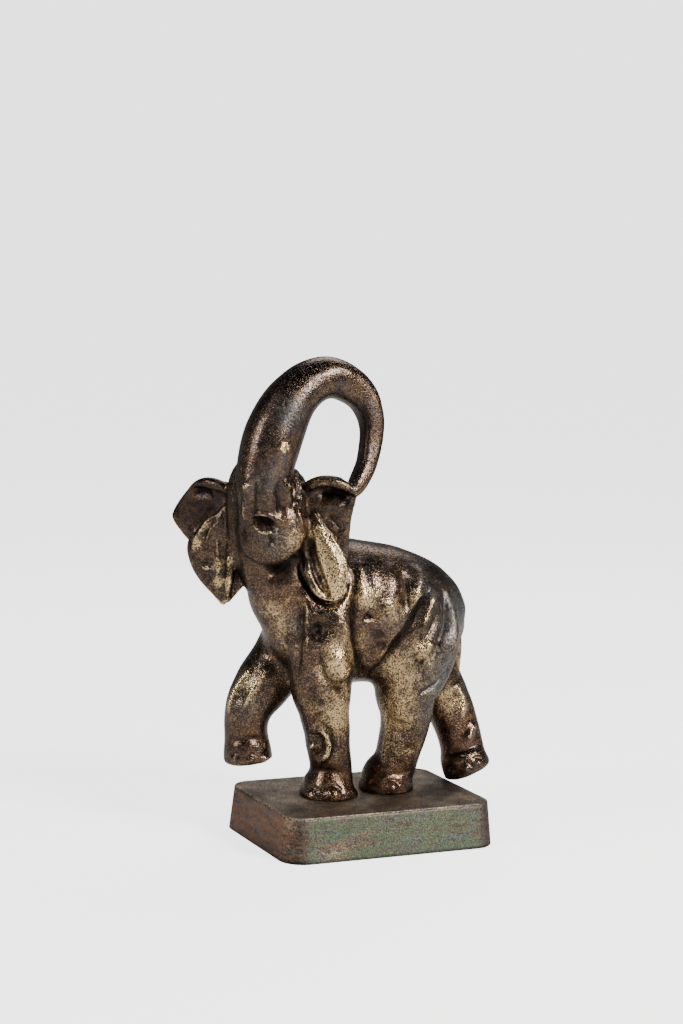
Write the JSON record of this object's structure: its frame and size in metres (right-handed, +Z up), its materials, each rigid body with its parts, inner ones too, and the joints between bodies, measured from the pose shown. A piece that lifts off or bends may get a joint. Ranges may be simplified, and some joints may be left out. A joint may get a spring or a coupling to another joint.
{
  "type": "elephant figurine",
  "caption": "Small patinated brass elephant, walking, with its head turned and its trunk looped over its head, on a low rectangular plinth with rounded corners.",
  "frame": {"origin": "centre of the plinth's underside", "axes": "+Z up, the elephant walks towards -X and its left side faces -Y"},
  "size_m": [0.1128, 0.0624, 0.1682],
  "materials": {
    "figure_brass": "dark brown patina worn to pale gold on the high spots, satin",
    "plinth_brass": "dark brown and green patina, satin"
  },
  "bodies": {
    "root": {"elephant": "figure_brass", "plinth": "plinth_brass"}
  },
  "joints": []
}
